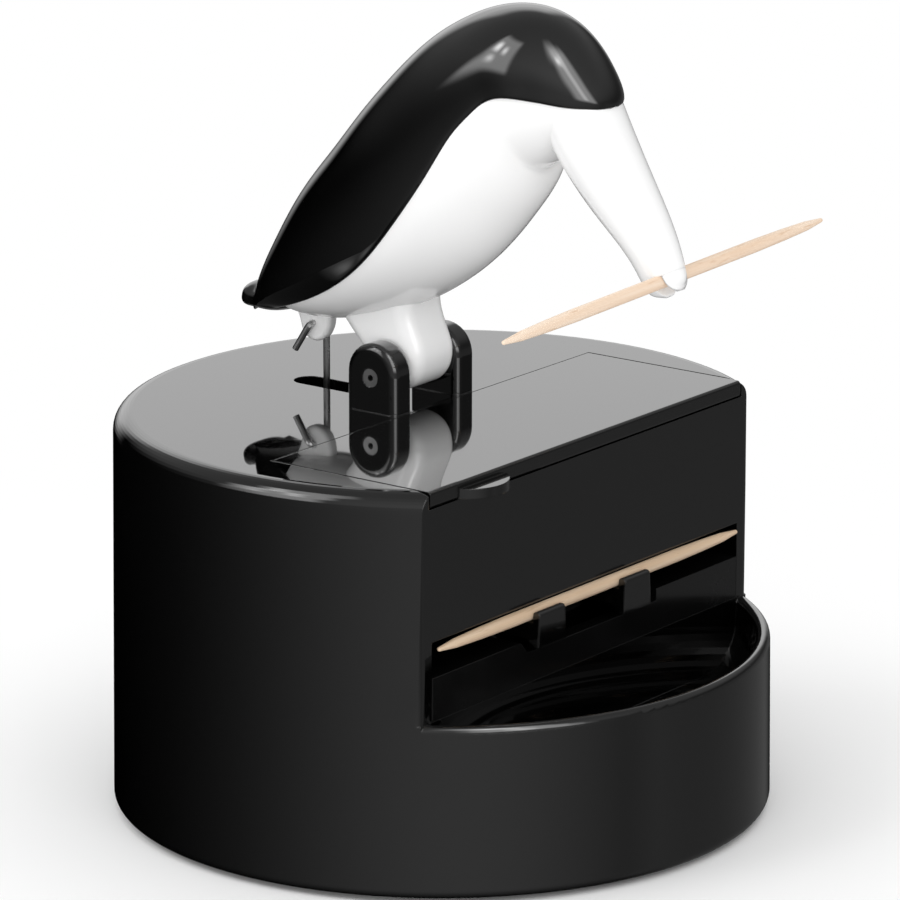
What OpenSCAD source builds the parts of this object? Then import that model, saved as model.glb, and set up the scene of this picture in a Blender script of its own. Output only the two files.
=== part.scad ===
// Toothpick dispenser: a bird on a round base dips its beak and picks a toothpick from a cradle.
// Millimetres. +Z is up, the flat front of the base faces -Y, toothpicks lie along X.
// The origin is the middle of the base on the table.

/* [Base] */
// Diameter of the base where it stands
base_d = 85.6; // [84:0.2:92]
// Height of the base, feet included
base_h = 52.5; // [51:0.5:58]
// How much the diameter tapers from the foot to the top
base_taper = 1.2; // [0:0.1:2]
// Thickness of the housing wall and of its top plate
wall = 2.5; // [2:0.1:3]
// Radius of the rounded top edge
top_edge_r = 2.5; // [1:0.1:3]
// Radius of the rounded foot edge
foot_edge_r = 1.2; // [0.5:0.1:1.5]
// How far the rubber feet lift the housing
foot_lift = 0.6; // [0.4:0.1:1.2]

/* [Front] */
// Distance of the flat front face from the middle of the base
face_y = 23.5; // [22.5:0.1:24.5]
// Thickness of the flat front wall
face_t = 2; // [1.6:0.1:2.2]
// Radius of the upright edges beside the front face
face_edge_r = 1.5; // [1:0.1:2.5]
// Height of the tray rim
rim_h = 23; // [21:0.2:23]
// Thickness of the tray rim
rim_t = 1.8; // [1.4:0.1:2.4]
// Depth of the tray below its rim
tray_depth = 9; // [6:0.2:9.4]
// Clear height of the toothpick slot
slot_h = 4.6; // [4.4:0.1:5]
// Height of the lip below the slot
lip_h = 5.6; // [5:0.1:6]

/* [Toothpick] */
// Length of a toothpick
pick_len = 65; // [63:0.5:65.5]
// Diameter of a toothpick
pick_d = 1.7; // [1.5:0.1:1.9]
// Length of each tapered end
pick_taper = 14; // [8:0.5:18]

/* [Lid] */
// Width of the hopper lid
lid_w = 67; // [66.6:0.1:67.4]
// Depth of the lid from its front lip to its back seam
lid_depth = 24.4; // [24:0.1:24.6]
// Thickness of the lid
lid_t = 2.2; // [1.8:0.1:2.4]
// Width of the half-round thumb tab
tab_w = 9.5; // [8:0.1:11]
// How far the thumb tab stands out
tab_out = 2.8; // [2:0.1:3]
// Distance of the tab from the middle of the lid
tab_x = 22.8; // [20:0.1:24]

/* [Bird] */
// Distance of the pivot pin behind the middle of the base
pin_y = 5.4; // [5.2:0.1:5.6]
// Height of the pivot pin above the top of the base
pin_rise = 4.5; // [4.4:0.1:5]
// Diameter of the pivot pin
pin_d = 2.4; // [2:0.1:2.6]
// Diameter of the hole through the rolled pin
pin_bore_d = 0.8; // [0.5:0.1:1]
// Half width and top radius of an ear that holds the pin
ear_r = 4; // [3.8:0.1:4.1]
// Thickness of each ear
ear_t = 3.9; // [3:0.1:4.2]
// Width of the leg between the ears
leg_w = 9; // [8:0.1:9.2]
// Distance of the leg and the ears from the middle plane
bird_x = 0.5; // [0:0.1:0.6]
// Thickness of the tail lug
lug_t = 2; // [1.6:0.1:2.2]
// Number of facets round the bird's body
bird_facets = 44; // [32:4:52]

/* [Lever] */
// Distance of the lever shaft ahead of the middle of the base
shaft_y = 18; // [17.8:0.1:18.4]
// Height of the lever shaft
shaft_z = 11; // [10.8:0.1:11.4]
// Diameter of the lever shaft
shaft_d = 3; // [2.5:0.1:3]
// Width of one cradle finger
finger_w = 6; // [5:0.1:6.4]
// Distance between the middles of the fingers
finger_pitch = 18.5; // [17:0.1:19]
// Offset of the pair of fingers from the middle of the base
finger_x = -2; // [-2.2:0.1:-1]
// Height of a finger's front lip above the toothpick's underside
finger_lip = 1.3; // [1:0.1:1.6]
// Diameter of the link wire
wire_d = 0.9; // [0.8:0.1:1]
// Height of the eye in the lever's rear arm
eye_z = 24; // [23:0.2:25]
// Diameter of that eye
eye_d = 3.2; // [3:0.1:3.4]

/* [Return spring] */
// Mean diameter of the coil
spring_d = 4.4; // [4:0.1:5]
// Diameter of the spring wire
spring_wire_d = 0.6; // [0.5:0.05:0.7]
// Number of turns
spring_turns = 6; // [5:1:7]

/* [Hidden] */

$fn = 96;
eps = 0.01;

// clearances
seat_gap = 0.15;       // loose seat of one fixed piece in another
lid_gap = 0.3;         // gap at the sides of the lid
lid_back_gap = 0.15;   // gap at the back of the lid
run_gap = 0.05;        // radial gap of a running fit
press_gap = 0.02;      // radial gap of a pin in its ears
pick_gap = 0.7;        // room beyond each end of a toothpick
pick_seat_gap = 0.08;  // gap between a toothpick and its cradle

// base
foot_r = base_d / 2;
top_r = foot_r - base_taper / 2;
top_z = base_h;
function base_r(z) = foot_r - (foot_r - top_r) * z / base_h;
plate_z = top_z - wall;               // underside of the top plate
inner_r = top_r - wall;               // inside of the round wall
face_in = face_y - face_t;            // inside of the flat front wall
rim_r = base_r(rim_h);
tray_floor_z = rim_h - tray_depth;
tray_corner_r = 6;
edge_steps = 10;

// bottom cover
cover_t = 2.5;
cover_r = inner_r + 0.9;
cover_top = foot_lift + cover_t;
cover_screw_d = 3;
cover_head_d = 5.6;
boss_r = 3.5;
boss_ring_r = inner_r - 2.3;
boss_front = boss_ring_r * [cos(27), -sin(27)];
boss_back = boss_ring_r * [cos(45), sin(45)];
boss_front_h = 26;
boss_spots = [for (sx = [-1, 1], p = [boss_front, boss_back]) [sx * p[0], p[1]]];
pad_r = 4.5;
pad_ring_r = cover_r - 7.1;
ring_r = pad_ring_r - pad_r + 0.5;     // stiffening ring of the cover
pad_seat = 1;
ring_t = 1.5;
cover_screw_len = 8;

// slot and hopper
opening_w = pick_len + 2 * pick_gap;          // clear width for a toothpick
slot_z = rim_h + 0.1 + lip_h;                 // top of the lip, bottom of the slot
slot_top = slot_z + slot_h;
lip_z = rim_h + 0.1;
cheek_t = 2;                                  // hopper side walls inside the housing
sheet = 2;                                    // thickness of the chute
chute_w = opening_w - 2 * 0.1;
shelf_y = -13;                                // where the chute's shelf turns up
back_y = 0.8;                                 // back of the chute's rear wall
ramp_top = [back_y - sheet, plate_z - 5.5];   // top of the sloped floor
notch_w = 29.6;
notch_z = slot_z - 1.6;                       // bottom of the notch in the lip
notch_lean = 1.4;                             // how far its left end slants
finger_gap_y = -11;                           // back end of the opening for the fingers
lug_x = 24;                                   // screw lugs of the chute
lug_w = 7;
lug_y = 5.2;
lug_z = plate_z - 8;
lug_h = 2;
post_r = 3;
chute_screw_d = 2.5;
chute_head_d = 4.6;
chute_screw_len = 7;

// lid
lid_front = -face_y;
lid_back = lid_front + lid_depth;
lid_z = top_z - lid_t;
mouth_back = lid_back - 1.9;
tab_r = (pow(tab_w / 2, 2) + pow(tab_out, 2)) / (2 * tab_out);
tab_top_drop = 0.9;

// pivot and wire
pin_z = top_z + pin_rise;
leg_gap = 0.2;
ear_in = leg_w / 2 + leg_gap;
ear_out = ear_in + ear_t;
ear_edge = 1.1;
ear_up = 0.4;                       // an ear's round top is centred above the pin
knuckle_r = 4.2;
knuckle = [pin_y - 0.3, pin_z + 1.6];
leg_x = [bird_x - leg_w / 2, bird_x + leg_w / 2];
ear_x = [bird_x - ear_out, bird_x + ear_out];
wire_slot_r = 2.1;
hang_y = pin_y + 14.6;              // upper and lower ends of the link wire
wire_slot_back = hang_y + 3.7;
wire_slot_front = hang_y - 11.8;
hang_z = pin_z + 3.7;
lug_side = 0.8;                     // the lug's face on the wire's side
wire_bend_r = 0.7;                  // radius of a bend's middle line
bend_steps = 4;
wire_x = lug_side + 0.05 + wire_bend_r;
hook_lean = 33;                     // how far the wire's upper end leans back, degrees
lug_r = 2.5;
keel_y = pin_y + 9.2;               // front and height of the lug's root inside the body
keel_z = pin_z + 9;

// lever
finger_spots = [finger_x - finger_pitch / 2, finger_x + finger_pitch / 2];
pick_y = -face_y - 0.4;             // axis of the toothpick that lies ready
pick_z = slot_z + 3.65;
saddle_z = pick_z - pick_d / 2 - pick_seat_gap;
lip_in = pick_y - pick_d / 2 - pick_seat_gap;
lip_t = 1;
arm_t = 2.2;
nose_r = 0.45;                      // rounding of a finger's front lip
finger_draft = 0.4;                 // how much a finger narrows towards its top, each side
upright_front = -shaft_y + 3.5;
upright_t = 3;
hub_r = 2.8;
hub_ends = [finger_spots[0] - finger_w / 2, finger_spots[1] + finger_w / 2];
rear_x = [lug_side - 2.6, lug_side];
rear_mid = (rear_x[0] + rear_x[1]) / 2;
eye = [hang_y, eye_z];
eye_r = 3;
eye_under = eye + [1, 0.2 - eye_r];   // where the arm's underside meets the eye
rear_knee = [2, shaft_z + 5.2];       // bend in the underside of the rear arm
rear_knee_t = 3.2;                    // its thickness there
bracket_t = 1.5;
bracket_gap = 0.4;
bracket_x = [hub_ends[0] - bracket_gap - bracket_t, hub_ends[1] + bracket_gap];
clip_t = 0.6;
clip_r = 2.9;
bracket_screw_x = [finger_x - 6, finger_x + 6];
bracket_screw_d = 2.4;
bracket_head_d = 4.6;
bracket_bite = 1.6;                 // how deep its screws go into the cover
spring_y = 4;
spring_post_r = (spring_d - spring_wire_d) / 2 - 0.4;
spring_post_h = 3.4;

// outlines of the bird, measured from the pivot pin
// spine station = [y, z, half depth in the plane, half width]
body_stations = [
    [22.6, 4.9, 0.6, 3.2], [19.8, 7.3, 2.9, 5.9], [14.7, 10.5, 6.4, 8.5], [7.9, 15, 9.9, 10.6],
    [1.5, 19.6, 11.7, 11.5], [-4.2, 24.8, 12.6, 11.6], [-9.3, 30.3, 12.6, 11], [-13.9, 35.1, 12, 10.1],
    [-19, 38.5, 10.8, 9], [-24, 39.2, 8.8, 7.7], [-27.8, 38.6, 6.3, 6], [-30.6, 38, 3.3, 3.8],
    [-31.9, 37.7, 1.2, 1.2]];
beak_stations = [
    [-24.6, 40.6, 4.6, 5.8], [-27.8, 35.4, 5, 5.6], [-33.3, 27.4, 4.3, 4.5], [-38.7, 19.9, 3.2, 3.1],
    [-40.4, 17.3, 2.5, 2.4], [-41.2, 15.9, 1.2, 1.2]];
tail_stations = [
    [14.6, 7.6, 1.3, 6], [20.6, 5.5, 1.4, 5.2], [23.6, 5.2, 1.3, 3.8], [25.2, 5.4, 0.6, 1.6]];
// where the black cap meets the white body, seen from the side
parting = [
    [-35.4, 37.2], [-32.2, 37.9], [-29.7, 38.4], [-26, 39.2], [-21.5, 39.7], [-18.3, 38.8],
    [-14.4, 34.7], [-9.9, 27.3], [-5.4, 20.7], [0.9, 14.4], [10.1, 9], [18.6, 5.9], [27.6, 4.2]];
cap_lip = 0.35;                     // how far the cap stands out over the body
held_at = [0, -40.7, 17.45];        // middle of the toothpick in the beak
held_turn = [0, -3.1, -2.5];
beak_dir = [-0.62, -0.78];
beak_slit = 2.3;
beak_slit_depth = 2.6;

// ---------- functions and small shapes ----------

// points of an arc, degrees
function arc(c, r, a0, a1, n) =
    [for (i = [0:n]) let (a = a0 + (a1 - a0) * i / n) c + r * [cos(a), sin(a)]];

// one value of a smooth curve through four neighbours
function smooth(p0, p1, p2, p3, t) =
    0.5 * (2 * p1 + (p2 - p0) * t + (2 * p0 - 5 * p1 + 4 * p2 - p3) * t * t
    + (3 * p1 - p0 - 3 * p2 + p3) * t * t * t);

// a smooth curve through all points of p, n steps between neighbours
function curve(p, n) = [for (i = [0:len(p) - 2], k = [0:n - 1])
    smooth(p[max(i - 1, 0)], p[i], p[i + 1], p[min(i + 2, len(p) - 1)], k / n), p[len(p) - 1]];

// the spine's direction in the YZ plane at station i
function spine_dir(s, i) =
    let (d = [s[min(i + 1, len(s) - 1)][0] - s[max(i - 1, 0)][0],
              s[min(i + 1, len(s) - 1)][1] - s[max(i - 1, 0)][1]]) d / norm(d);

// a closed skin over rings of points, all with the same number of facets
module skin(points, facets) {
    rings = len(points) / facets;
    walls = [for (i = [0:rings - 2], k = [0:facets - 1]) let (n = (k + 1) % facets)
        each [[i * facets + k, i * facets + n, (i + 1) * facets + n],
              [i * facets + k, (i + 1) * facets + n, (i + 1) * facets + k]]];
    first = [for (k = [facets - 1:-1:0]) k];
    last = [for (k = [0:facets - 1]) (rings - 1) * facets + k];
    polyhedron(points, concat(walls, [first, last]), convexity = 8);
}

// a body of elliptic sections, each square to the spine; grow makes every section larger
module loft(stations, steps, facets, grow = 0) {
    s = curve(stations, steps);
    skin([for (i = [0:len(s) - 1]) let (d = spine_dir(s, i)) for (k = [0:facets - 1])
        let (a = 360 * k / facets, depth = (s[i][2] + grow) * cos(a))
        [(s[i][3] + grow) * sin(a), s[i][0] + d[1] * depth, s[i][1] - d[0] * depth]], facets);
}

// a side profile in the YZ plane, extruded along X
module side_plate(x0, x1) {
    translate([x0, 0, 0]) rotate([90, 0, 90]) linear_extrude(x1 - x0) children();
}

// a cylinder along X
module rod_x(r, x0, x1, y, z) {
    translate([x0, y, z]) rotate([0, 90, 0]) cylinder(r = r, h = x1 - x0);
}

// a round rod between two points
module rod(a, b, d) {
    v = b - a;
    translate(a) rotate([0, acos(v[2] / norm(v)), atan2(v[1], v[0])]) cylinder(d = d, h = norm(v));
}

// a right-angled bend round corner c, from direction u to v: [point, direction, side, turn] each
function bend(c, u, v, side, turn) = [for (i = [0:bend_steps]) let (a = 90 * i / bend_steps)
    [c - wire_bend_r * (u - v + v * cos(a) - u * sin(a)), u * cos(a) + v * sin(a), side, turn]];

// a toothpick along X with two tapered, rounded ends
module toothpick() {
    half = pick_len / 2;
    r = pick_d / 2;
    tip = 0.28;
    side = concat([[0, -half]], arc([0, -half + tip], tip, -90, -8, 5),
        [[0.72 * r, -half + 0.25 * pick_taper], [0.9 * r, -half + 0.6 * pick_taper],
         [r, -half + pick_taper]]);
    other = [for (i = [len(side) - 1:-1:0]) [side[i][0], -side[i][1]]];
    color([0.87, 0.7, 0.5]) rotate([0, 90, 0]) rotate_extrude() polygon(concat(side, other));
}

// a screw pointing up along +Z from the underside of its head
module screw(d, head_d, head_h, length) {
    difference() {
        union() {
            translate([0, 0, -eps]) cylinder(d = d, h = length + eps);
            translate([0, 0, -head_h]) cylinder(d = head_d, h = head_h);
        }
        for (a = [0, 90]) rotate([0, 0, a])
            translate([-head_d * 0.3, -0.4, -head_h - eps]) cube([head_d * 0.6, 0.8, head_h * 0.6]);
    }
}

// ---------- base ----------

module round_body() {
    low = foot_edge_r;
    high = top_edge_r;
    rotate_extrude($fn = 180) polygon(concat(
        [[0, foot_lift]],
        arc([foot_r - low, foot_lift + low], low, -90, 0, edge_steps),
        arc([top_r - high, top_z - high], high, 0, 90, edge_steps),
        [[0, top_z]]));
}

// what the flat front leaves away above the tray
module front_cut() {
    far = foot_r + 5;
    translate([-far, -far, rim_h - rim_t / 2]) cube([2 * far, far - face_y, top_z]);
}

// rounds an upright edge between the flat face and the round wall
module edge_cut(side) {
    r = face_edge_r;
    outer = base_r(rim_h);
    cx = sqrt(pow(outer - r, 2) - pow(face_y - r, 2));
    cy = r - face_y;
    corner = sqrt(pow(outer, 2) - pow(face_y, 2));
    tangent = [cx, cy] * outer / (outer - r);
    mirror([side < 0 ? 1 : 0, 0, 0]) translate([0, 0, rim_h]) linear_extrude(top_z)
        difference() {
            polygon([[cx, -face_y], [cx, -face_y - 2], [corner + 2, -face_y - 2], tangent * 1.06, tangent]);
            translate([cx, cy]) circle(r = r);
        }
}

// rounded top of the tray wall
module tray_rim() {
    intersection() {
        translate([0, 0, rim_h - rim_t / 2]) rotate_extrude($fn = 180)
            translate([rim_r - rim_t / 2, 0]) circle(r = rim_t / 2, $fn = 32);
        translate([-base_d, -base_d, 0]) cube([2 * base_d, base_d - face_y + eps, top_z]);
    }
}

// the half-moon hollow of the tray
module tray_hollow() {
    r = rim_r - rim_t;
    c = tray_corner_r;
    intersection() {
        rotate_extrude($fn = 180) polygon(concat(
            [[0, tray_floor_z]],
            arc([r - c, tray_floor_z + c], c, -90, 0, edge_steps),
            [[r, top_z], [0, top_z]]));
        translate([-base_d, -base_d, 0]) cube([2 * base_d, base_d - face_y, 2 * top_z]);
    }
}

// everything hollow inside the housing
module housing_hollow() {
    floor_under = tray_floor_z - 2;
    intersection() {
        cylinder(r = inner_r, h = plate_z);
        union() {
            translate([-base_d, -base_d, -eps]) cube([2 * base_d, 2 * base_d, floor_under]);
            translate([-base_d, -face_in, -eps]) cube([2 * base_d, 2 * base_d, plate_z + 1]);
        }
    }
    translate([0, 0, -eps]) cylinder(r = cover_r + seat_gap, h = cover_top + eps);
}

// an ear with a half-round top and rounded edges, standing on the top plate
module ear(side) {
    e = ear_edge;
    edge = concat(arc([ear_r - e, e], e, -90, 0, edge_steps),
                  arc([ear_r - e, ear_t - e], e, 0, 90, edge_steps));
    other_edge = [for (i = [len(edge) - 1:-1:0]) [-edge[i][0], edge[i][1]]];
    drop = pin_z + ear_up - top_z + 1;
    translate([bird_x, pin_y, pin_z + ear_up]) mirror([side < 0 ? 1 : 0, 0, 0]) translate([ear_in, 0, 0]) {
        rotate([90, 0, 90]) rotate_extrude(angle = 180) polygon(concat([[0, 0]], edge, [[0, ear_t]]));
        rotate([0, 0, 90]) mirror([0, 1, 0]) translate([0, 0, -drop]) linear_extrude(drop)
            polygon(concat(edge, other_edge));
    }
}

module base_housing() {
    color([0.03, 0.03, 0.035]) difference() {
        union() {
            difference() {
                round_body();
                front_cut();
                tray_hollow();
                for (side = [-1, 1]) edge_cut(side);
                housing_hollow();
            }
            tray_rim();
            // side walls of the hopper
            for (side = [-1, 1]) intersection() {
                translate([side > 0 ? opening_w / 2 : -opening_w / 2 - cheek_t, -face_in - eps, slot_z - 2])
                    cube([cheek_t, face_in + lid_back, plate_z - slot_z + 2 + eps]);
                cylinder(r = inner_r + eps, h = top_z);
            }
            // screw bosses of the bottom cover
            for (side = [-1, 1]) {
                boss(side * boss_front[0], boss_front[1], boss_front_h);
                boss(side * boss_back[0], boss_back[1], plate_z + eps);
            }
            // screw posts of the chute
            for (side = [-1, 1]) translate([side * lug_x, lug_y, lug_z + lug_h])
                cylinder(r = post_r, h = plate_z - lug_z - lug_h + eps);
            for (side = [-1, 1]) ear(side);
        }
        for (p = boss_spots) translate([p[0], p[1], cover_top - eps])
            cylinder(d = cover_screw_d, h = cover_screw_len + 2);
        for (side = [-1, 1]) translate([side * lug_x, lug_y, lug_z])
            cylinder(d = chute_screw_d, h = plate_z - lug_z);
        // slot in the face, with the place of the chute's lip below it
        translate([-opening_w / 2, -face_y - 1, lip_z]) cube([opening_w, face_t + 1.5, slot_top - lip_z]);
        // seat of the lid and the mouth of the hopper
        translate([-lid_w / 2 - lid_gap, -face_y - 1, lid_z])
            cube([lid_w + 2 * lid_gap, lid_depth + 1 + lid_back_gap, 9]);
        translate([-opening_w / 2, -face_in, plate_z - 1]) cube([opening_w, face_in + mouth_back, 9]);
        // slot for the link wire
        wire_slot();
        rod_x(pin_d / 2 + press_gap, ear_x[0] - 1, ear_x[1] + 1, pin_y, pin_z);
    }
}

// keyhole in the top plate that the link wire swings in
module wire_slot() {
    y = wire_slot_back - wire_slot_r;
    translate([0, y, plate_z - 1]) cylinder(r = wire_slot_r, h = wall + 2);
    translate([-wire_slot_r, wire_slot_front, plate_z - 1])
        cube([2 * wire_slot_r, y - wire_slot_front, wall + 2]);
}

// a screw boss that grows out of the housing wall
module boss(x, y, top) {
    intersection() {
        translate([x, y, cover_top]) cylinder(r = boss_r, h = top - cover_top);
        cylinder(r = inner_r + 1, h = top_z);
    }
}

module bottom_cover() {
    color([0.05, 0.05, 0.055]) difference() {
        union() {
            translate([0, 0, foot_lift]) cylinder(r = cover_r, h = cover_t);
            // post that holds the lower end of the spring
            translate([rear_mid, spring_y, cover_top]) cylinder(r = spring_post_r, h = spring_post_h);
            // stiffening ring inside
            translate([0, 0, cover_top]) difference() {
                cylinder(r = ring_r, h = ring_t);
                translate([0, 0, -1]) cylinder(r = ring_r - ring_t, h = 4);
            }
        }
        for (p = boss_spots) translate([p[0], p[1], 0]) {
            cylinder(d = cover_screw_d + 0.4, h = 9);
            cylinder(d = cover_head_d + 0.4, h = foot_lift + 1.5);
        }
        for (a = [0:90:270]) rotate([0, 0, a])
            translate([pad_ring_r, 0, 0]) cylinder(r = pad_r + 0.1, h = foot_lift + pad_seat);
        for (x = bracket_screw_x) translate([x, -shaft_y, cover_top - bracket_bite - 0.2])
            cylinder(d = bracket_screw_d + 0.1, h = 9);
    }
}

module cover_screws() {
    color([0.7, 0.7, 0.72]) for (p = boss_spots)
        translate([p[0], p[1], foot_lift + 1.5])
            screw(cover_screw_d - 0.1, cover_head_d, 1.3, cover_screw_len);
}

module foot_pads() {
    color([0.12, 0.12, 0.12]) for (a = [0:90:270]) rotate([0, 0, a]) translate([pad_ring_r, 0, 0]) {
        cylinder(r1 = pad_r - 0.4, r2 = pad_r, h = 0.4);
        translate([0, 0, 0.4]) cylinder(r = pad_r, h = foot_lift + pad_seat - 0.4);
    }
}

// ---------- hopper ----------

// side profile of the chute: lip, shelf, sloped floor and rear wall, one bent sheet
module chute_profile() {
    slope = atan2(ramp_top[1] - slot_z, ramp_top[0] - shelf_y);
    under = sheet * tan(slope / 2);
    over = sheet * tan((90 - slope) / 2);
    polygon([
        [-face_y, lip_z], [-face_y, slot_z], [shelf_y, slot_z], ramp_top, [ramp_top[0], plate_z],
        [back_y, plate_z], [back_y, ramp_top[1] - over], [shelf_y + under, slot_z - sheet],
        [-face_in, slot_z - sheet], [-face_in, lip_z]]);
}

module feed_chute() {
    color([0.04, 0.04, 0.045]) difference() {
        union() {
            side_plate(-chute_w / 2, chute_w / 2) chute_profile();
            for (side = [-1, 1]) translate([side * lug_x - lug_w / 2, back_y - 1, lug_z])
                cube([lug_w, lug_y + post_r - back_y + 1, lug_h]);
        }
        // notch in the lip, with one slanted end
        translate([0, -face_in + eps, 0]) rotate([90, 0, 0]) linear_extrude(face_t + 1) polygon([
            [-notch_w / 2, slot_z], [-notch_w / 2 + notch_lean, notch_z], [notch_w / 2, notch_z],
            [notch_w / 2, slot_z + 1], [-notch_w / 2, slot_z + 1]]);
        // opening in the shelf for the fingers
        translate([-notch_w / 2, -face_in, slot_z - sheet - 1])
            cube([notch_w, face_in + finger_gap_y, plate_z - 7 - slot_z + sheet]);
        for (side = [-1, 1]) translate([side * lug_x, lug_y, lug_z - 1])
            cylinder(d = chute_screw_d + 0.4, h = lug_h + 2);
    }
}

module chute_screws() {
    color([0.7, 0.7, 0.72]) for (side = [-1, 1])
        translate([side * lug_x, lug_y, lug_z])
            screw(chute_screw_d - 0.1, chute_head_d, 1.2, chute_screw_len);
}

module hopper_lid() {
    edge = 0.5;
    color([0.03, 0.03, 0.035]) {
        side_plate(-lid_w / 2, lid_w / 2) polygon(concat(
            [[lid_back, lid_z], [lid_back, top_z]],
            arc([lid_front + edge, top_z - edge], edge, 90, 180, 6),
            arc([lid_front + edge, lid_z + edge], edge, 180, 270, 6)));
        intersection() {
            translate([-tab_x, lid_front - tab_out + tab_r, lid_z])
                cylinder(r = tab_r, h = lid_t - tab_top_drop);
            translate([-lid_w / 2, lid_front - tab_out - 1, 0]) cube([lid_w / 2, tab_out + 1 + edge, top_z]);
        }
    }
}

// ---------- mechanism ----------

module pivot_pin() {
    color([0.55, 0.55, 0.57]) difference() {
        rod_x(pin_d / 2, ear_x[0] + 0.1, ear_x[1] - 0.1, pin_y, pin_z);
        rod_x(pin_bore_d / 2, ear_x[0] - 1, ear_x[1] + 1, pin_y, pin_z);
    }
}

module lever_bracket() {
    x0 = bracket_x[0];
    x1 = bracket_x[1] + bracket_t;
    y0 = -shaft_y - 4;
    color([0.72, 0.72, 0.74]) difference() {
        union() {
            translate([x0, y0, cover_top]) cube([x1 - x0, 8, bracket_t]);
            for (x = bracket_x) {
                translate([x, y0, cover_top]) cube([bracket_t, 8, shaft_z - cover_top]);
                rod_x(4, x, x + bracket_t, -shaft_y, shaft_z);
            }
        }
        translate([x0 - 1, -face_y - 9, tray_floor_z - 2.3]) cube([x1 - x0 + 2, 9 + face_t, 9]);
        rod_x(shaft_d / 2 + press_gap, x0 - 1, x1 + 1, -shaft_y, shaft_z);
        for (x = bracket_screw_x) translate([x, -shaft_y, 0]) cylinder(d = bracket_screw_d + 0.5, h = 9);
    }
}

module bracket_screws() {
    color([0.7, 0.7, 0.72]) for (x = bracket_screw_x)
        translate([x, -shaft_y, cover_top + bracket_t]) mirror([0, 0, 1])
            screw(bracket_screw_d, bracket_head_d, 1.2, bracket_t + bracket_bite);
}

module lever_shaft() {
    end = clip_t + 0.8;
    color([0.75, 0.75, 0.77])
        rod_x(shaft_d / 2, bracket_x[0] - end, bracket_x[1] + bracket_t + end, -shaft_y, shaft_z);
}

module shaft_clips() {
    for (x = [bracket_x[0] - clip_t - 0.1, bracket_x[1] + bracket_t + 0.1])
        color([0.4, 0.4, 0.42]) difference() {
            rod_x(clip_r, x, x + clip_t, -shaft_y, shaft_z);
            rod_x(shaft_d / 2 + press_gap, x - 1, x + clip_t + 1, -shaft_y, shaft_z);
            translate([x - 1, -shaft_y - 0.9, shaft_z]) cube([clip_t + 2, 1.8, clip_r + 1]);
        }
}

// one finger: an arm through the slot with a saddle and a front lip for the toothpick
module finger_profile() {
    under = saddle_z - arm_t;
    front = lip_in - lip_t;
    top = pick_z - pick_d / 2 + finger_lip;
    polygon(concat(
        [[front, under - 1]],
        arc([front + nose_r, top - nose_r], nose_r, 180, 90, 4),
        [[lip_in - 0.2, top], [lip_in, top - 0.2]],
        [[lip_in, saddle_z], [upright_front + upright_t, saddle_z], [upright_front + upright_t, under - 2]],
        [[-shaft_y + 2.2, shaft_z - 0.5], [-shaft_y - 1.5, shaft_z + 1.5]],
        [[upright_front, under - 2], [upright_front, under], [front + 2, under], [front + 0.5, under - 1]]));
}

// a finger seen from the front: narrower at its top
module finger_front(x) {
    wide = finger_w / 2;
    narrow = wide - finger_draft;
    low = shaft_z - hub_r;
    rotate([90, 0, 0]) translate([x, 0, -face_y]) linear_extrude(3 * face_y) polygon([
        [-wide, low], [wide, low], [wide, slot_z - 1], [narrow, pick_z + 2], [-narrow, pick_z + 2],
        [-wide, slot_z - 1]]);
}

module rear_arm_profile() {
    difference() {
        union() {
            translate(eye) circle(r = eye_r);
            polygon([[-shaft_y, shaft_z - hub_r + 0.4], rear_knee, eye_under, eye + [-1.4, eye_r - 0.4],
                     rear_knee + [-2, rear_knee_t], [-shaft_y, shaft_z + hub_r - 0.2]]);
        }
        translate(eye) circle(d = eye_d);
    }
}

module pickup_lever() {
    color([0.04, 0.04, 0.045]) difference() {
        union() {
            rod_x(hub_r, hub_ends[0], hub_ends[1], -shaft_y, shaft_z);
            for (x = finger_spots) intersection() {
                side_plate(x - finger_w / 2, x + finger_w / 2) finger_profile();
                finger_front(x);
            }
            side_plate(rear_x[0], rear_x[1]) rear_arm_profile();
        }
        rod_x(shaft_d / 2 + run_gap, hub_ends[0] - 1, hub_ends[1] + 1, -shaft_y, shaft_z);
    }
}

// the return spring: one unbroken coil on the rear arm's underside, standing on its post
module return_spring() {
    sides = 6;
    per_turn = 12;
    rise = eye_under - rear_knee;
    arm_under = rear_knee[1] + (spring_y - rear_knee[0]) * rise[1] / rise[0];
    z0 = cover_top + spring_wire_d / 2;
    z1 = arm_under - spring_wire_d / 2 - 0.1;
    rings = spring_turns * per_turn;
    r = spring_wire_d / 2;
    middle = [for (i = [0:rings]) let (a = 360 * i / per_turn)
        [rear_mid + spring_d / 2 * cos(a), spring_y + spring_d / 2 * sin(a), z0 + (z1 - z0) * i / rings]];
    gaps = [for (i = [0:rings - per_turn]) norm(middle[i + per_turn] - middle[i]) - spring_wire_d];
    echo(least_gap_between_turns = min(gaps));
    color([0.75, 0.75, 0.77]) skin([for (i = [0:rings], k = [0:sides - 1])
        let (a = 360 * i / per_turn, b = 360 * k / sides)
        middle[i] + r * [cos(b) * cos(a), cos(b) * sin(a), sin(b)]], sides);
}

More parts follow.
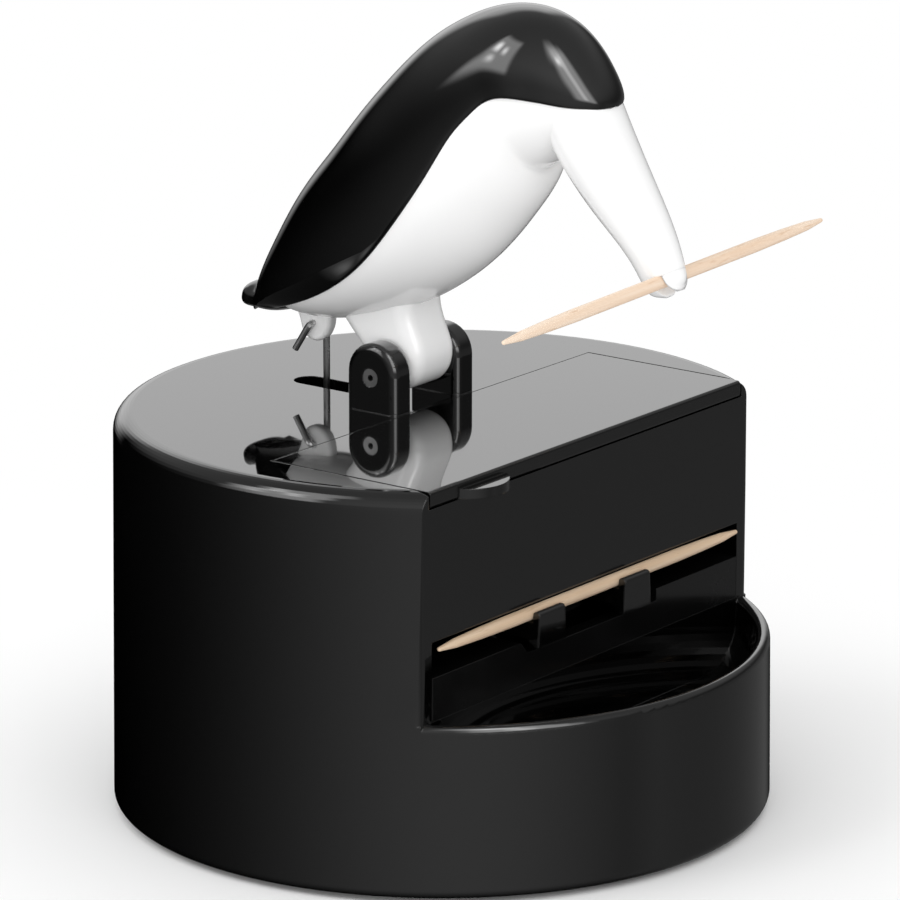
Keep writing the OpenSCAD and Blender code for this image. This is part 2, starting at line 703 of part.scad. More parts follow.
// link wire: hooked through the tail lug above and the lever's eye below
module link_wire() {
    sides = 10;
    high = [wire_x, hang_y, hang_z];
    low = [wire_x, hang_y, eye_z];
    high_out = [lug_side - lug_t - 0.05 - wire_bend_r, hang_y, hang_z];
    low_out = [rear_x[0] - 0.2 - wire_bend_r, hang_y, eye_z];
    hook = [0, sin(hook_lean), -cos(hook_lean)];
    hook_side = [0, cos(hook_lean), sin(hook_lean)];
    right = [1, 0, 0];
    back = [0, 1, 0];
    down = [0, 0, -1];
    path = concat(
        [[high_out + 4.4 * hook, -hook, hook_side, hook_lean]],
        bend(high_out, -hook, right, hook_side, hook_lean),
        bend(high, right, down, back, 0),
        bend(low, down, -right, back, 0),
        bend(low_out, -right, down, back, 0),
        [[low_out + 3 * down, down, back, 0]]);
    color([0.6, 0.6, 0.62]) skin([for (s = path, k = [0:sides - 1]) let (b = 360 * k / sides + s[3])
        s[0] + wire_d / 2 * (cos(b) * s[2] + sin(b) * cross(s[2], s[1]))], sides);
}

// ---------- bird ----------

module at_pin() {
    translate([0, pin_y, pin_z]) children();
}

module bird_form(grow = 0) {
    at_pin() loft(body_stations, 4, bird_facets, grow);
}

module beak_form() {
    at_pin() loft(beak_stations, 4, 28);
}

module tail_form() {
    at_pin() loft(tail_stations, 3, 28);
}

// everything above the parting line
module cap_side() {
    line = curve(parting, 4);
    at_pin() side_plate(-20, 20) polygon(concat(line, [[40, 4], [40, 68], [-50, 68], [-50, 37]]));
}

// outline of the leg, from the knuckle up into the body
module leg_outline() {
    polygon([for (p = [
        [-4.45, 1.6], [-4.4, 2.6], [-3.9, 4.2], [-3.2, 5.8], [-2.6, 7.5], [-2.4, 9], [-2.4, 13],
        [10.8, 13], [10.8, 9.2], [8.8, 6.4], [6.6, 3.8], [4.9, 1.9], [3.7, 0.4], [2.8, -0.8]])
        [pin_y + p[0], pin_z + p[1]]]);
}

// outline of the tail lug above its round end
module lug_outline() {
    polygon([
        [hang_y - lug_r, hang_z], [hang_y - 2.2, hang_z + 5], [keel_y - 0.2, keel_z],
        [keel_y - 0.2, keel_z + 3], [hang_y + 2.5, keel_z], [hang_y + 3.6, hang_z + 2.4],
        [hang_y + lug_r, hang_z]]);
}

// leg, knuckle and tail lug on one keel that is hidden in the body
module bird_leg() {
    color([0.93, 0.93, 0.93]) difference() {
        union() {
            rod_x(knuckle_r, leg_x[0], leg_x[1], knuckle[0], knuckle[1]);
            side_plate(leg_x[0], leg_x[1]) leg_outline();
            side_plate(lug_side - lug_t, lug_side) {
                translate([hang_y, hang_z]) circle(r = lug_r);
                lug_outline();
            }
        }
        rod_x(pin_d / 2 + run_gap, -leg_w, leg_w, pin_y, pin_z);
        rod_x(wire_d / 2 + run_gap, -leg_w, leg_w, hang_y, hang_z);
    }
}

module bird_body() {
    color([0.93, 0.93, 0.93]) difference() {
        bird_form();
        cap_side();
        beak_form();
        tail_form();
        leg_pocket();
    }
}

// the room that the leg and the keel take in the body
module leg_pocket() {
    side_plate(leg_x[0], leg_x[1]) leg_outline();
    side_plate(lug_side - lug_t, lug_side) lug_outline();
}

module bird_cap() {
    color([0.03, 0.03, 0.035]) difference() {
        union() {
            intersection() {
                bird_form(cap_lip);
                cap_side();
            }
            tail_form();
        }
        beak_form();
        leg_pocket();
    }
}

module bird_beak() {
    along = atan2(beak_dir[1], beak_dir[0]);
    color([0.93, 0.93, 0.93]) difference() {
        beak_form();
        // slit that grips the toothpick, open at the tip
        at_pin() side_plate(-9, 9) translate([held_at[1], held_at[2]]) rotate(along)
            translate([-beak_slit_depth, -beak_slit / 2]) square([20, beak_slit]);
    }
}

module toothpick_ready() {
    translate([0, pick_y, pick_z]) toothpick();
}

module toothpick_held() {
    at_pin() translate(held_at) rotate(held_turn) translate([-0.5, 0, 0]) toothpick();
}

base_housing();
bottom_cover();
cover_screws();
foot_pads();
feed_chute();
chute_screws();
hopper_lid();
pivot_pin();
lever_bracket();
bracket_screws();
lever_shaft();
shaft_clips();
pickup_lever();
return_spring();
link_wire();
bird_leg();
bird_body();
bird_cap();
bird_beak();
toothpick_ready();
toothpick_held();
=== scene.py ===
import math

import bpy
import numpy as np
from mathutils import Matrix, Vector


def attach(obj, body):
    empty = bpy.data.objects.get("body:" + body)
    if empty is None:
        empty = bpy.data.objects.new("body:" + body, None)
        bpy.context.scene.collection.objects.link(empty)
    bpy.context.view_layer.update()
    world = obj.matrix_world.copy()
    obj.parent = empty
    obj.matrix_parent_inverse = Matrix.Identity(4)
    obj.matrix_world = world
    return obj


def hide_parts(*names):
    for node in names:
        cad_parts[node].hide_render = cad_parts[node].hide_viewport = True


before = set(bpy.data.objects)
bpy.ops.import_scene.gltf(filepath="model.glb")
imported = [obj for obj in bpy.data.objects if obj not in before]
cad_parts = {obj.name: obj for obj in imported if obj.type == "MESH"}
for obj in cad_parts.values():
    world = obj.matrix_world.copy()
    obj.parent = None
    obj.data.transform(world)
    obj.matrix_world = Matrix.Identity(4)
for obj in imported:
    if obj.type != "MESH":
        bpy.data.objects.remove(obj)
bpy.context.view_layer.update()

mm = 0.001      # all shape tables are in millimetres: z up, the beak points to -y, toothpicks lie along x

# the camera that the looks were matched in
camera = {"place": (-0.55889, -0.42150, 0.23927), "azimuth": -52.977, "elevation": 15.89, "lens": 225.83,
          "shift": (0.00899, 0.05496), "sensor": 36, "clip": (0.05, 60)}


def setCamera(look):
    az, el = math.radians(look["azimuth"]), math.radians(look["elevation"])
    back = Vector((math.sin(az) * math.cos(el), -math.cos(az) * math.cos(el), math.sin(el)))
    right = Vector((math.cos(az), math.sin(az), 0))
    data = bpy.data.cameras.new("photoCamera")
    data.lens, data.sensor_width = look["lens"], look["sensor"]
    data.shift_x, data.shift_y = look["shift"]
    data.clip_start, data.clip_end = look["clip"]
    seat = bpy.data.objects.new("photoCamera", data)
    turn = Matrix((right, back.cross(right), back)).transposed().to_4x4()
    seat.matrix_world = Matrix.Translation(look["place"]) @ turn
    bpy.context.scene.collection.objects.link(seat)
    bpy.context.scene.camera = seat


setCamera(camera)
bpy.context.scene.view_settings.view_transform = "Standard"
print("camera set")


class Signal:
    # the value of one socket; sums of signals and numbers add Math nodes
    def __init__(self, finish, socket):
        self.finish, self.socket = finish, socket

    def maths(self, operation, *values):
        return self.finish.node("Math", {"operation": operation}, dict(enumerate(values)))

    def __add__(self, other):
        return self.maths("ADD", self, other)

    def __sub__(self, other):
        return self.maths("SUBTRACT", self, other)

    def __rsub__(self, other):
        return self.maths("SUBTRACT", other, self)

    def __mul__(self, other):
        return self.maths("MULTIPLY", self, other)

    def __pow__(self, other):
        return self.maths("POWER", self, other)

    def over(self, low, high):      # 0 below low, 1 above high
        return self.finish.node("MapRange", {"interpolation_type": "SMOOTHSTEP"},
                                {"Value": self, "From Min": low, "From Max": high})

    def between(self, low, high, soft):     # 1 from low to high, fading over soft at both ends
        return self.over(low - soft, low + soft) * (1 - self.over(high - soft, high + soft))

    __radd__, __rmul__ = __add__, __mul__


class Finish:
    # a material, or the world, and the one way that nodes are added to it
    def __init__(self, owner):
        self.owner = owner
        owner.use_nodes = True
        self.tree = owner.node_tree
        self.tree.nodes.clear()

    def node(self, kind, settings={}, inputs={}, output=0):
        made = self.tree.nodes.new("ShaderNode" + kind)
        for key, value in settings.items():
            setattr(made, key, value)
        for key, value in inputs.items():
            if isinstance(value, Signal):
                self.tree.links.new(value.socket, made.inputs[key])
            else:
                made.inputs[key].default_value = value
        return Signal(self, made.outputs[output])

    def blend(self, share, first, second):      # first where share is 0, second where it is 1
        return self.node("Mix", {"data_type": "RGBA"}, {0: share, 6: first, 7: second}, 2)

    def close(self, surface):
        kind = "OutputWorld" if isinstance(self.owner, bpy.types.World) else "OutputMaterial"
        end = self.tree.nodes.new("ShaderNode" + kind)
        self.tree.links.new(surface.socket, end.inputs["Surface"])


def newMaterial(name):
    return Finish(bpy.data.materials.new(name))


def tone(level):
    return (level, level, level, 1)


glossBlack = {"dark": 0.0006, "light": 0.0012, "roughness": 0.035, "haze": 0.05, "hazeScale": 34, "ior": 1.45,
              "coat": 1.0, "coatRough": 0.02, "ripple": 0.00002, "rippleScale": 30, "edge": 0.00022}
softBlack = {"dark": 0.002, "light": 0.004, "roughness": 0.16, "haze": 0.14, "hazeScale": 60, "ior": 1.45,
             "coat": 0.3, "coatRough": 0.12, "ripple": 0.00003, "rippleScale": 90, "edge": 0.0002}
glossWhite = {"dark": 0.89, "light": 0.93, "roughness": 0.07, "haze": 0.05, "hazeScale": 30, "ior": 1.45,
              "coat": 0.5, "coatRough": 0.03, "ripple": 0.00002, "rippleScale": 25, "edge": 0.0002}
handled = {"hazeDetail": 5, "hazeGrain": 0.62, "hazeRange": (0.45, 0.75),      # alike on all mouldings
           "dustScale": 900, "dustRange": (0.66, 0.8), "dustRough": 0.06}


def mouldedPlastic(name, look):
    # polished moulding: faint haze from handling in the roughness, very slight flow ripple, softened edges
    finish = newMaterial(name)
    place = finish.node("TexCoord", {}, {}, "Object")
    haze = finish.node("TexNoise", {}, {
        "Vector": place, "Scale": look["hazeScale"], "Detail": handled["hazeDetail"],
        "Roughness": handled["hazeGrain"]})
    dust = finish.node("TexNoise", {}, {"Vector": place, "Scale": handled["dustScale"], "Detail": 2})
    ripple = finish.node("TexNoise", {}, {"Vector": place, "Scale": look["rippleScale"], "Detail": 2})
    colour = finish.blend(haze, tone(look["dark"]), tone(look["light"]))
    edges = finish.node("Bevel", {"samples": 6}, {"Radius": look["edge"]})
    bump = finish.node("Bump", {}, {
        "Strength": 1.0, "Distance": look["ripple"], "Height": ripple, "Normal": edges})
    rough = look["roughness"] + haze.over(*handled["hazeRange"]) * look["haze"]
    rough = rough + dust.over(*handled["dustRange"]) * handled["dustRough"]
    finish.close(finish.node("BsdfPrincipled", {}, {
        "Base Color": colour, "Roughness": rough, "IOR": look["ior"], "Coat Weight": look["coat"],
        "Coat Roughness": look["coatRough"], "Coat IOR": look["ior"], "Normal": bump}))
    return finish.owner


steel = {"dark": 0.36, "light": 0.62, "roughness": 0.2, "scratch": 0.22, "scale": 700, "cloudScale": 140,
         "cloudRange": (0.3, 0.75), "strength": 0.4, "depth": 0.00002}


def barMetal(name, look):
    # drawn or plated steel: a fine grain and cloudy patches
    finish = newMaterial(name)
    place = finish.node("TexCoord", {}, {}, "Object")
    grain = finish.node("TexNoise", {}, {
        "Vector": place, "Scale": look["scale"], "Detail": 4, "Roughness": 0.7})
    cloud = finish.node("TexNoise", {}, {"Vector": place, "Scale": look["cloudScale"], "Detail": 3})
    colour = finish.blend(cloud.over(*look["cloudRange"]), tone(look["dark"]), tone(look["light"]))
    bump = finish.node("Bump", {}, {"Strength": look["strength"], "Distance": look["depth"], "Height": grain})
    finish.close(finish.node("BsdfPrincipled", {}, {
        "Base Color": colour, "Metallic": 1.0, "Roughness": look["roughness"] + grain * look["scratch"],
        "Normal": bump}))
    return finish.owner


pad = {"dark": 0.018, "light": 0.04, "grainScale": 1500, "wearScale": 160, "roughness": 0.62, "scratch": 0.25,
       "strength": 0.6, "depth": 0.00008}


def padRubber(name, look):
    # matt rubber with a fine grain
    finish = newMaterial(name)
    place = finish.node("TexCoord", {}, {}, "Object")
    grain = finish.node("TexNoise", {}, {"Vector": place, "Scale": look["grainScale"], "Detail": 3})
    wear = finish.node("TexNoise", {}, {"Vector": place, "Scale": look["wearScale"], "Detail": 3})
    bump = finish.node("Bump", {}, {"Strength": look["strength"], "Distance": look["depth"], "Height": grain})
    finish.close(finish.node("BsdfPrincipled", {}, {
        "Base Color": finish.blend(wear, tone(look["dark"]), tone(look["light"])),
        "Roughness": look["roughness"] + grain * look["scratch"], "Normal": bump}))
    return finish.owner


birch = {"pale": (0.8, 0.6, 0.44, 1), "deep": (0.6, 0.37, 0.21, 1), "fibre": (0.86, 0.71, 0.57, 1),
         "fibreStretch": (26, 900, 900), "poreStretch": (240, 2400, 2400), "cloudStretch": (60, 300, 300),
         "fibreRange": (0.35, 0.68), "poreRange": (0.6, 0.74), "cloudRange": (0.5, 0.8), "poreShare": 0.45,
         "cloudShare": 0.35, "roughness": 0.5, "scratch": 0.2, "strength": 0.5, "depth": 0.00006,
         "poreDepth": 0.5}


def birchWood(name, look, turn):
    # pale wood: long fibres along the toothpick, short darker pores and a warmer cloud
    finish = newMaterial(name)
    place = finish.node("Mapping", {}, {"Vector": finish.node("TexCoord", {}, {}, "Object"), "Rotation": turn})
    along, pits, patches = (finish.node("Mapping", {}, {"Vector": place, "Scale": look[key]})
                            for key in ("fibreStretch", "poreStretch", "cloudStretch"))
    fibres = finish.node("TexNoise", {}, {"Vector": along, "Scale": 1, "Detail": 5, "Roughness": 0.65})
    pores = finish.node("TexNoise", {}, {"Vector": pits, "Scale": 1, "Detail": 2})
    cloud = finish.node("TexNoise", {}, {"Vector": patches, "Scale": 1, "Detail": 2})
    wood = finish.blend(fibres.over(*look["fibreRange"]), look["pale"], look["fibre"])
    wood = finish.blend(cloud.over(*look["cloudRange"]) * look["cloudShare"], wood, look["deep"])
    wood = finish.blend(pores.over(*look["poreRange"]) * look["poreShare"], wood, look["deep"])
    bump = finish.node("Bump", {}, {
        "Strength": look["strength"], "Distance": look["depth"], "Height": fibres + pores * look["poreDepth"]})
    finish.close(finish.node("BsdfPrincipled", {}, {
        "Base Color": wood, "Roughness": look["roughness"] + fibres * look["scratch"], "Normal": bump}))
    return finish.owner


blackMoulding = mouldedPlastic("blackMoulding", glossBlack)
innerMoulding = mouldedPlastic("innerMoulding", softBlack)
leverMoulding = mouldedPlastic("leverMoulding", {**glossBlack, "edge": 0.0005, "roughness": 0.1})
whiteMoulding = mouldedPlastic("whiteMoulding", glossWhite)
steelDrawn = barMetal("steelDrawn", steel)
steelPlated = barMetal("steelPlated", {**steel, "dark": 0.5, "light": 0.72, "roughness": 0.26, "scratch": 0.12})
rubber = padRubber("rubber", pad)
# the lying toothpick: the same birch made darker, painted shade for the shade it lies in by the black front and
# the lid
shadedBirch = {**birch, "pale": (0.58, 0.42, 0.28, 1), "deep": (0.4, 0.25, 0.14, 1),
            "fibre": (0.66, 0.51, 0.37, 1)}
heldTurn = (0, math.radians(3.1), math.radians(2.5))      # the held toothpick lies askew by this much
woodLyingShaded = birchWood("woodLyingShaded", shadedBirch, (0, 0, 0))
woodHeld = birchWood("woodHeld", birch, heldTurn)
print("finishes made")


def fairCurve(rows, count):
    # natural cubic spline through the rows of a table, by distance along their first two columns
    rows = np.array(rows, float)
    way = np.concatenate([[0], np.cumsum(np.hypot(*np.diff(rows[:, :2], axis=0).T))])
    step, n = np.diff(way), len(way)
    matrix, right = np.eye(n), np.zeros(rows.shape)
    inner = np.arange(1, n - 1)
    matrix[inner, inner - 1], matrix[inner, inner + 1] = step[:-1], step[1:]
    matrix[inner, inner] = 2 * (step[:-1] + step[1:])
    slope = np.diff(rows, axis=0) / step[:, None]
    right[1:-1] = 6 * np.diff(slope, axis=0)
    bend = np.linalg.solve(matrix, right)
    x = np.linspace(0, way[-1], count)
    i = np.clip(np.searchsorted(way, x) - 1, 0, n - 2)
    a, b, h = (way[i + 1] - x)[:, None], (x - way[i])[:, None], step[i][:, None]
    return ((bend[i] * a**3 + bend[i + 1] * b**3) / (6 * h) + (rows[i] / h - bend[i] * h / 6) * a
            + (rows[i + 1] / h - bend[i + 1] * h / 6) * b)


def outward(points, faces):
    # turns all triangles round if the volume that they enclose is negative
    a, b, c = (points[faces[:, k]] for k in range(3))
    return faces if np.einsum("ij,ij->i", a, np.cross(b, c)).sum() > 0 else faces[:, ::-1]


def closedSkin(rings):
    # rings of points (ring, point, xyz), closed round each ring and by a fan at both ends
    count, width = rings.shape[:2]
    i, k = np.meshgrid(np.arange(count - 1), np.arange(width), indexing="ij")
    n = (k + 1) % width
    corners = [i * width + k, i * width + n, (i + 1) * width + n, (i + 1) * width + k]
    a, b, c, d = (corner.ravel() for corner in corners)
    k, n = np.arange(width), (np.arange(width) + 1) % width
    last = (count - 1) * width
    ends = [np.stack([np.full(width, count * width), n, k], 1),
            np.stack([np.full(width, count * width + 1), last + k, last + n], 1)]
    points = np.concatenate([rings.reshape(-1, 3), rings[[0, -1]].mean(1)])
    return points, outward(points, np.concatenate([np.stack([a, b, c], 1), np.stack([a, c, d], 1), *ends]))


def putPiece(name, skins, material, body, slot, *nodes, crease=None):
    # one object from one or more closed skins in millimetres; edges stay sharp past the crease angle
    points, faces, start = [], [], 0
    for skin, triangles in skins:
        points.append(skin)
        faces.append(triangles + start)
        start += len(skin)
    points, faces = np.concatenate(points) * mm, np.concatenate(faces)
    mesh = bpy.data.meshes.new(name)
    mesh.vertices.add(len(points))
    mesh.vertices.foreach_set("co", points.astype(np.float32).ravel())
    mesh.loops.add(faces.size)
    mesh.loops.foreach_set("vertex_index", faces.astype(np.int32).ravel())
    mesh.polygons.add(len(faces))
    mesh.polygons.foreach_set("loop_start", np.arange(0, faces.size, 3, dtype=np.int32))
    mesh.update(calc_edges=True)
    mesh.validate()
    mesh.shade_smooth()
    if crease:
        mesh.set_sharp_from_angle(angle=math.radians(crease))
    mesh.materials.append(material)
    piece = bpy.data.objects.new(name, mesh)
    bpy.context.scene.collection.objects.link(piece)
    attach(piece, body)
    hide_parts(*nodes)


def sections(table, count, width, power=2.0, limit=None):
    # ring = middle + depth * cos(t) across the spine and half width * sin(t) along x, both bent by a power
    s = fairCurve(table, count)
    way = np.gradient(s[:, :2], axis=0)
    way /= np.linalg.norm(way, axis=1)[:, None]
    out = np.stack([way[:, 1], -way[:, 0]], 1)
    t = np.linspace(0, 2 * np.pi, width, endpoint=False)
    depth = np.sign(np.cos(t)) * np.abs(np.cos(t)) ** (2 / power)
    side = np.sign(np.sin(t)) * np.abs(np.sin(t)) ** (2 / power)
    depth = s[:, 2:3] * depth
    if limit:
        depth = limit(s, depth)
    x = s[:, 3:4] * side
    return np.stack([x, s[:, 0:1] + out[:, 0:1] * depth, s[:, 1:2] + out[:, 1:2] * depth], 2)


# spine y z, half depth, half width
birdBody = {"spine": [(26.8, 63.5, 0.3, 1.8), (26.2, 63.9, 0.9, 3.4), (24.6, 65.0, 2.7, 5.7),
                      (20.1, 67.5, 6.4, 8.5), (13.3, 72.0, 9.9, 10.6), (6.9, 76.6, 11.7, 11.5),
                      (1.2, 81.8, 12.6, 11.6),
                      (-3.9, 87.3, 12.5, 11.0), (-8.7, 92.0, 11.6, 10.1), (-14.2, 95.1, 9.6, 8.8),
                      (-19.0, 95.3, 8.2, 7.2), (-22.6, 94.8, 5.2, 5.5), (-24.6, 94.5, 2.6, 3.0),
                      (-25.4, 94.4, 0.6, 0.6)], "rings": 150, "round": 120}
putPiece("birdBodyWhite", [closedSkin(sections(birdBody["spine"], birdBody["rings"], birdBody["round"]))],
         whiteMoulding, "bird", "white_gloss", "bird_body")

# ridge y z, edge y z, half width at the edge, angle of the arch from ridge to edge
birdCap = {"rows": [(28.64, 62.6, 27.89, 61.78, 3.5, 100), (28.17, 64.3, 26.51, 62.44, 4.48, 109),
                    (27.09, 66.95, 24.23, 62.94, 5.36, 119), (23.73, 73.19, 18.39, 64.83, 7.81, 118),
                    (19.08, 80.47, 10.86, 68.42, 9.92, 115), (14.47, 85.98, 4.31, 73.39, 11.14, 110),
                    (10.37, 90.94, -1.02, 79.59, 11.6, 104), (5.64, 96.06, -5.39, 85.93, 11.21, 99),
                    (-0.41, 101.43, -8.92, 91.61, 10.44, 93), (-4.36, 103.83, -11.03, 94.05, 9.92, 90),
                    (-9.38, 105.82, -13.38, 96.04, 9.3, 88), (-14.4, 106.3, -16.11, 96.68, 8.8, 87),
                    (-18.6, 105.2, -18.6, 96.5, 7.9, 87), (-21.6, 103.1, -20.6, 96.2, 7.1, 86),
                    (-24.0, 100.4, -22.6, 95.75, 6.05, 85), (-25.6, 98.1, -24.3, 95.4, 4.85, 85),
                    (-26.5, 96.5, -25.6, 95.15, 3.5, 85), (-26.85, 95.6, -26.4, 94.98, 2.0, 85),
                    (-26.95, 95.2, -26.75, 94.92, 0.8, 85)],
           "rings": 220, "arch": 81, "inner": 41, "lip": 9, "wall": 1.1, "wallShare": 0.4}


def capRings(look):
    # point = middle + (depth - inset) * cos(t) upwards and (width - inset) * sin(t) along x; the inset is 0 on
    # the outer arch, wall / 2 * (1 - cos) round a lip, the wall on the inner arch back, and round the other lip
    s = fairCurve(look["rows"], look["rings"])
    ridge, edge, half, angle = s[:, 0:2], s[:, 2:4], np.abs(s[:, 4:5]), np.radians(s[:, 5:6])
    reach = np.linalg.norm(ridge - edge, axis=1)[:, None]
    up = (ridge - edge) / reach
    depth, width = reach / (1 - np.cos(angle)), half / np.sin(angle)
    middle = ridge - depth * up
    wall = np.minimum(look["wall"], look["wallShare"] * np.minimum(depth, width))
    lip = np.linspace(0, np.pi, look["lip"] + 2)[None, 1:-1]
    over = wall / 2 / width * np.sin(lip)
    turns = [angle * np.linspace(-1, 1, look["arch"])[None], angle + over,
             angle * np.linspace(1, -1, look["inner"])[None], -angle - over[:, ::-1]]
    inset = [np.zeros((len(s), look["arch"])), wall / 2 * (1 - np.cos(lip)),
             wall * np.ones((1, look["inner"])), wall / 2 * (1 - np.cos(lip))[:, ::-1]]
    t, d = np.concatenate(turns, 1), np.concatenate(inset, 1)
    out = (depth - d) * np.cos(t)
    return np.stack([(width - d) * np.sin(t), middle[:, 0:1] + up[:, 0:1] * out,
                     middle[:, 1:2] + up[:, 1:2] * out], 2)


tailLip = {"spine": [(18.5, 65.2, 0.8, 5.2), (20.5, 64.6, 1.3, 6.0), (25.6, 63.4, 1.5, 5.3),
                     (28.4, 63.3, 1.5, 4.4), (30.2, 63.6, 1.3, 3.2), (30.9, 63.8, 0.6, 1.6)],
           "rings": 60, "round": 96, "power": 2.8}
lipRings = sections(tailLip["spine"], tailLip["rings"], tailLip["round"], tailLip["power"])
putPiece("birdBackBlack", [closedSkin(capRings(birdCap)), closedSkin(lipRings)], blackMoulding, "bird",
         "black_gloss", "bird_cap")

birdBeak = {"spine": [(-18.4, 98.6, 4.0, 5.6), (-19.6, 96.9, 4.7, 5.8), (-22.4, 92.4, 5.0, 5.6),
                      (-27.9, 84.4, 4.3, 4.5), (-33.3, 76.9, 3.2, 3.1), (-34.7, 74.1, 2.9, 2.45),
                      (-35.4, 72.9, 2.0, 1.7), (-35.7, 72.4, 0.9, 0.8)],
            "rings": 110, "round": 96, "slitFrom": 74.9, "slitMiddle": 0.6, "slit": 0.9, "soft": 0.3}


def beakSkins(look):
    # the root is whole; below the slit's bottom each half keeps only what lies beyond the slit's wall
    rows = np.array(look["spine"])
    s = fairCurve(rows, look["rings"])
    cut = int(np.searchsorted(-s[:, 1], -look["slitFrom"]))
    whole = sections(rows, look["rings"], look["round"])

    def half(side):
        def wall(stations, depth):      # smooth maximum of the section's depth and the slit's wall
            gap = side * (depth - look["slitMiddle"]) - look["slit"]
            return look["slitMiddle"] + side * (look["slit"] + 0.5 * (gap + np.sqrt(gap**2 + look["soft"]**2)))
        return sections(rows, look["rings"], look["round"], limit=wall)[cut:]

    return [closedSkin(whole[:cut + 1]), closedSkin(half(1)), closedSkin(half(-1))]


putPiece("birdBeakWhite", beakSkins(birdBeak), whiteMoulding, "bird", "white_gloss", "bird_beak")
print("bird made")

birdLeg = {"outline": [(0.95, 58.6), (1.0, 59.6), (1.5, 61.2), (2.2, 62.8), (2.8, 64.5), (3.0, 66.2),
                       (3.4, 68.8), (5.3, 71.0), (9.5, 72.0), (13.8, 71.0), (15.9, 68.9), (15.8, 66.2),
                       (14.2, 63.4), (12.0, 60.8), (10.3, 58.9), (9.2, 57.4), (8.2, 55.85), (6.8, 54.8),
                       (5.1, 54.4), (3.3, 54.8), (1.95, 55.85), (1.2, 57.2)],
           "x": (-4.0, 5.0), "round": 2.2, "crease": 40}
birdLug = {"outline": [(17.5, 60.7), (17.2, 62.8), (15.5, 65.2), (14.5, 68.0), (20.0, 69.5), (24.0, 66.5),
                       (23.8, 63.6), (22.5, 60.9), (21.8, 59.0), (20.0, 58.2), (18.3, 59.0)],
           "x": (-1.2, 0.8), "round": 0.7}


def roundedPlate(look, count=160, steps=8):
    # closed outline in the yz plane, thick along x; round its edges a ring stands round * (1 - cos(t)) inside
    # the outline along its normal and round * (1 - sin(t)) from the face
    rows = np.array(look["outline"] * 3)
    line = fairCurve(rows, 3 * count + 1)[count:2 * count]
    way = np.roll(line, -1, 0) - np.roll(line, 1, 0)
    normal = np.stack([way[:, 1], -way[:, 0]], 1) / np.linalg.norm(way, axis=1)[:, None]
    if (normal * (line - line.mean(0))).sum() < 0:
        normal = -normal
    (low, high), r = look["x"], look["round"]
    t = np.linspace(0, np.pi / 2, steps)
    x = np.concatenate([low + r * (1 - np.sin(t[::-1])), high - r * (1 - np.sin(t))])
    inset = r * (1 - np.cos(np.concatenate([t[::-1], t])))
    ring = line[None] - inset[:, None, None] * normal[None]
    return np.concatenate([np.repeat(x[:, None, None], count, 1), ring], 2)


putPiece("birdLegWhite", [closedSkin(roundedPlate(birdLeg)), closedSkin(roundedPlate(birdLug))], whiteMoulding,
         "bird", "white_gloss", "bird_leg", crease=birdLeg["crease"])
print("leg made")

# solids that are shown as they are, each with its finish
finishOf = {"base_housing": blackMoulding, "hopper_lid": blackMoulding, "bottom_cover": innerMoulding,
            "feed_chute": innerMoulding, "pickup_lever": leverMoulding, "cover_screws": steelPlated,
            "chute_screws": steelPlated, "bracket_screws": steelPlated, "lever_bracket": steelPlated,
            "shaft_clips": steelDrawn, "lever_shaft": steelDrawn, "pivot_pin": steelDrawn,
            "return_spring": steelDrawn, "link_wire": steelDrawn, "foot_pads": rubber,
            "toothpick_ready": woodLyingShaded, "toothpick_held": woodHeld}
for node, material in finishOf.items():
    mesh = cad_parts[node].data
    mesh.materials.clear()
    mesh.materials.append(material)
print("carried-over parts dressed")

# what polished surfaces mirror, by azimuth (0 ahead of the flat front, -90 on its left) and elevation
studio = {"ambient": 0.9, "floor": 0.97, "floorReach": 9.0, "whiteFrom": 0.05, "whiteTo": 0.17, "sky": 0.3,
          "skyFrom": 5, "skyTo": 35, "glow": 0.46, "glowTowards": -45, "glowFall": 3, "panes": [
              {"azimuth": (112, 155), "elevation": (-2, 21), "soft": 9, "bright": 0.86},    # white paper behind
              {"azimuth": (112, 155), "elevation": (21, 42), "soft": 7, "bright": 0.9},
              {"azimuth": (20, 110), "elevation": (-50, 8), "soft": 10, "bright": 0.1},     # dim room, right
              {"azimuth": (-138, -98), "elevation": (20, 60), "soft": 4, "bright": 2.2},    # window on the left
              {"azimuth": (-133, -125), "elevation": (40, 50), "soft": 4, "bright": 8},     # sky in its panes
              {"azimuth": (-118, -111), "elevation": (40, 48), "soft": 4, "bright": 6},
              {"azimuth": (-131, -124), "elevation": (28, 34), "soft": 4, "bright": 5},
              {"azimuth": (-52, -20), "elevation": (50, 70), "soft": 9, "bright": 2.2},     # window ahead
              {"azimuth": (-43, -4), "elevation": (6, 64), "soft": 7, "bright": 2.6},
              {"azimuth": (-29, -20), "elevation": (12, 58), "soft": 4, "bright": 2.5},
              {"azimuth": (-38, -29), "elevation": (49, 55), "soft": 4, "bright": 6}]}


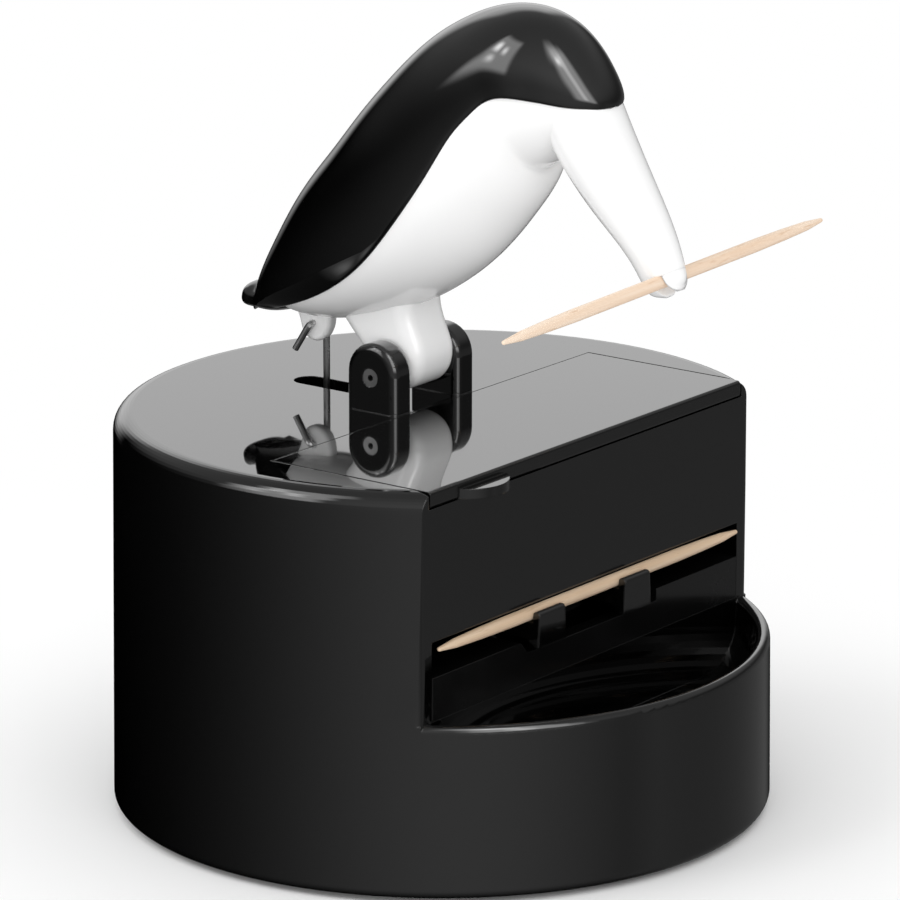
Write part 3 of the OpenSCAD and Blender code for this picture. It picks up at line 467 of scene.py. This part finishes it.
def makeWorld(look):
    # mirrored light = sky that grows with elevation + glow * ((1 + cosine to its side) / 2) ^ fall + panes
    world = bpy.data.worlds.new("studio")
    bpy.context.scene.world = world
    finish = Finish(world)
    seen = [finish.node("LightPath", {}, {}, name) for name in
            ("Is Camera Ray", "Is Glossy Ray", "Is Transmission Ray")]
    direct = seen[0].maths("MAXIMUM", seen[0], seen[2])
    way = finish.node("TexCoord", {}, {}, "Generated")
    x, y, z = (finish.node("SeparateXYZ", {}, {"Vector": way}, axis) for axis in "XYZ")
    azimuth = x.maths("ARCTAN2", x, y * -1) * math.degrees(1)
    elevation = z.maths("ARCSINE", z) * math.degrees(1)
    side = math.radians(look["glowTowards"])
    towards = (math.sin(side), -math.cos(side), 0)
    cosine = finish.node("VectorMath", {"operation": "DOT_PRODUCT"}, {0: way, 1: towards}, "Value")
    mirror = ((cosine + 1) * 0.5) ** look["glowFall"] * look["glow"]
    mirror = mirror + elevation.over(look["skyFrom"], look["skyTo"]) * look["sky"]
    for pane in look["panes"]:
        across, upright = (signal.between(*pane[name], pane["soft"]) for signal, name in
                           ((azimuth, "azimuth"), (elevation, "elevation")))
        mirror = mirror + across * upright * pane["bright"]
    strength = direct + (1 - direct) * (seen[1] * mirror + (1 - seen[1]) * look["ambient"])
    finish.close(finish.node("Background", {}, {"Color": (1, 1, 1, 1), "Strength": strength}))


def makeFloor(look):
    # white paper, lit and shadowed near the object and plain white farther out; a mirrored ray goes through
    # it, so polished walls show the same studio below the horizon
    mesh = bpy.data.meshes.new("paperFloor")
    r = look["floorReach"]
    mesh.from_pydata([(-r, -r, 0), (r, -r, 0), (r, r, 0), (-r, r, 0)], [], [(0, 1, 2, 3)])
    floor = bpy.data.objects.new("paperFloor", mesh)
    bpy.context.scene.collection.objects.link(floor)
    finish = newMaterial("paper")
    glossy = finish.node("LightPath", {}, {}, "Is Glossy Ray")
    paper = finish.node("BsdfDiffuse", {}, {"Color": tone(look["floor"])})
    far = finish.node("Emission", {}, {"Color": (1, 1, 1, 1), "Strength": 1.0})
    place = finish.node("TexCoord", {}, {}, "Object")
    distance = finish.node("VectorMath", {"operation": "LENGTH"}, {0: place}, "Value")
    plain = distance.over(look["whiteFrom"], look["whiteTo"])
    paper = finish.node("MixShader", {}, {0: plain, 1: paper, 2: far})
    through = finish.node("BsdfTransparent")
    finish.close(finish.node("MixShader", {}, {0: glossy, 1: paper, 2: through}))
    mesh.materials.append(finish.owner)


# soft lamps where the panes are, which light the matt and the white surfaces
softboxes = [
    {"name": "leftWindow", "azimuth": -127, "elevation": 45, "size": (0.69, 0.42), "watts": 2.4},
    {"name": "aheadWindow", "azimuth": -30, "elevation": 50, "size": (0.5, 0.8), "watts": 1.4},
    {"name": "cameraFill", "azimuth": -68, "elevation": 5, "size": (1.0, 0.6), "watts": 5.2},
]
lampReach = 1.2
lampAim = (0, 0, 0.05)


def makeSoftbox(look):
    light = bpy.data.lights.new(look["name"], "AREA")
    light.shape, light.energy = "RECTANGLE", look["watts"]
    light.size, light.size_y = look["size"]
    lamp = bpy.data.objects.new(look["name"], light)
    az, el = math.radians(look["azimuth"]), math.radians(look["elevation"])
    away = Vector((math.sin(az) * math.cos(el), -math.cos(az) * math.cos(el), math.sin(el)))
    place = Vector(lampAim) + lampReach * away
    lamp.matrix_world = Matrix.Translation(place) @ away.to_track_quat("Z", "Y").to_matrix().to_4x4()
    lamp.visible_glossy = False
    bpy.context.scene.collection.objects.link(lamp)


makeWorld(studio)
makeFloor(studio)
for box in softboxes:
    makeSoftbox(box)
print("studio lit")
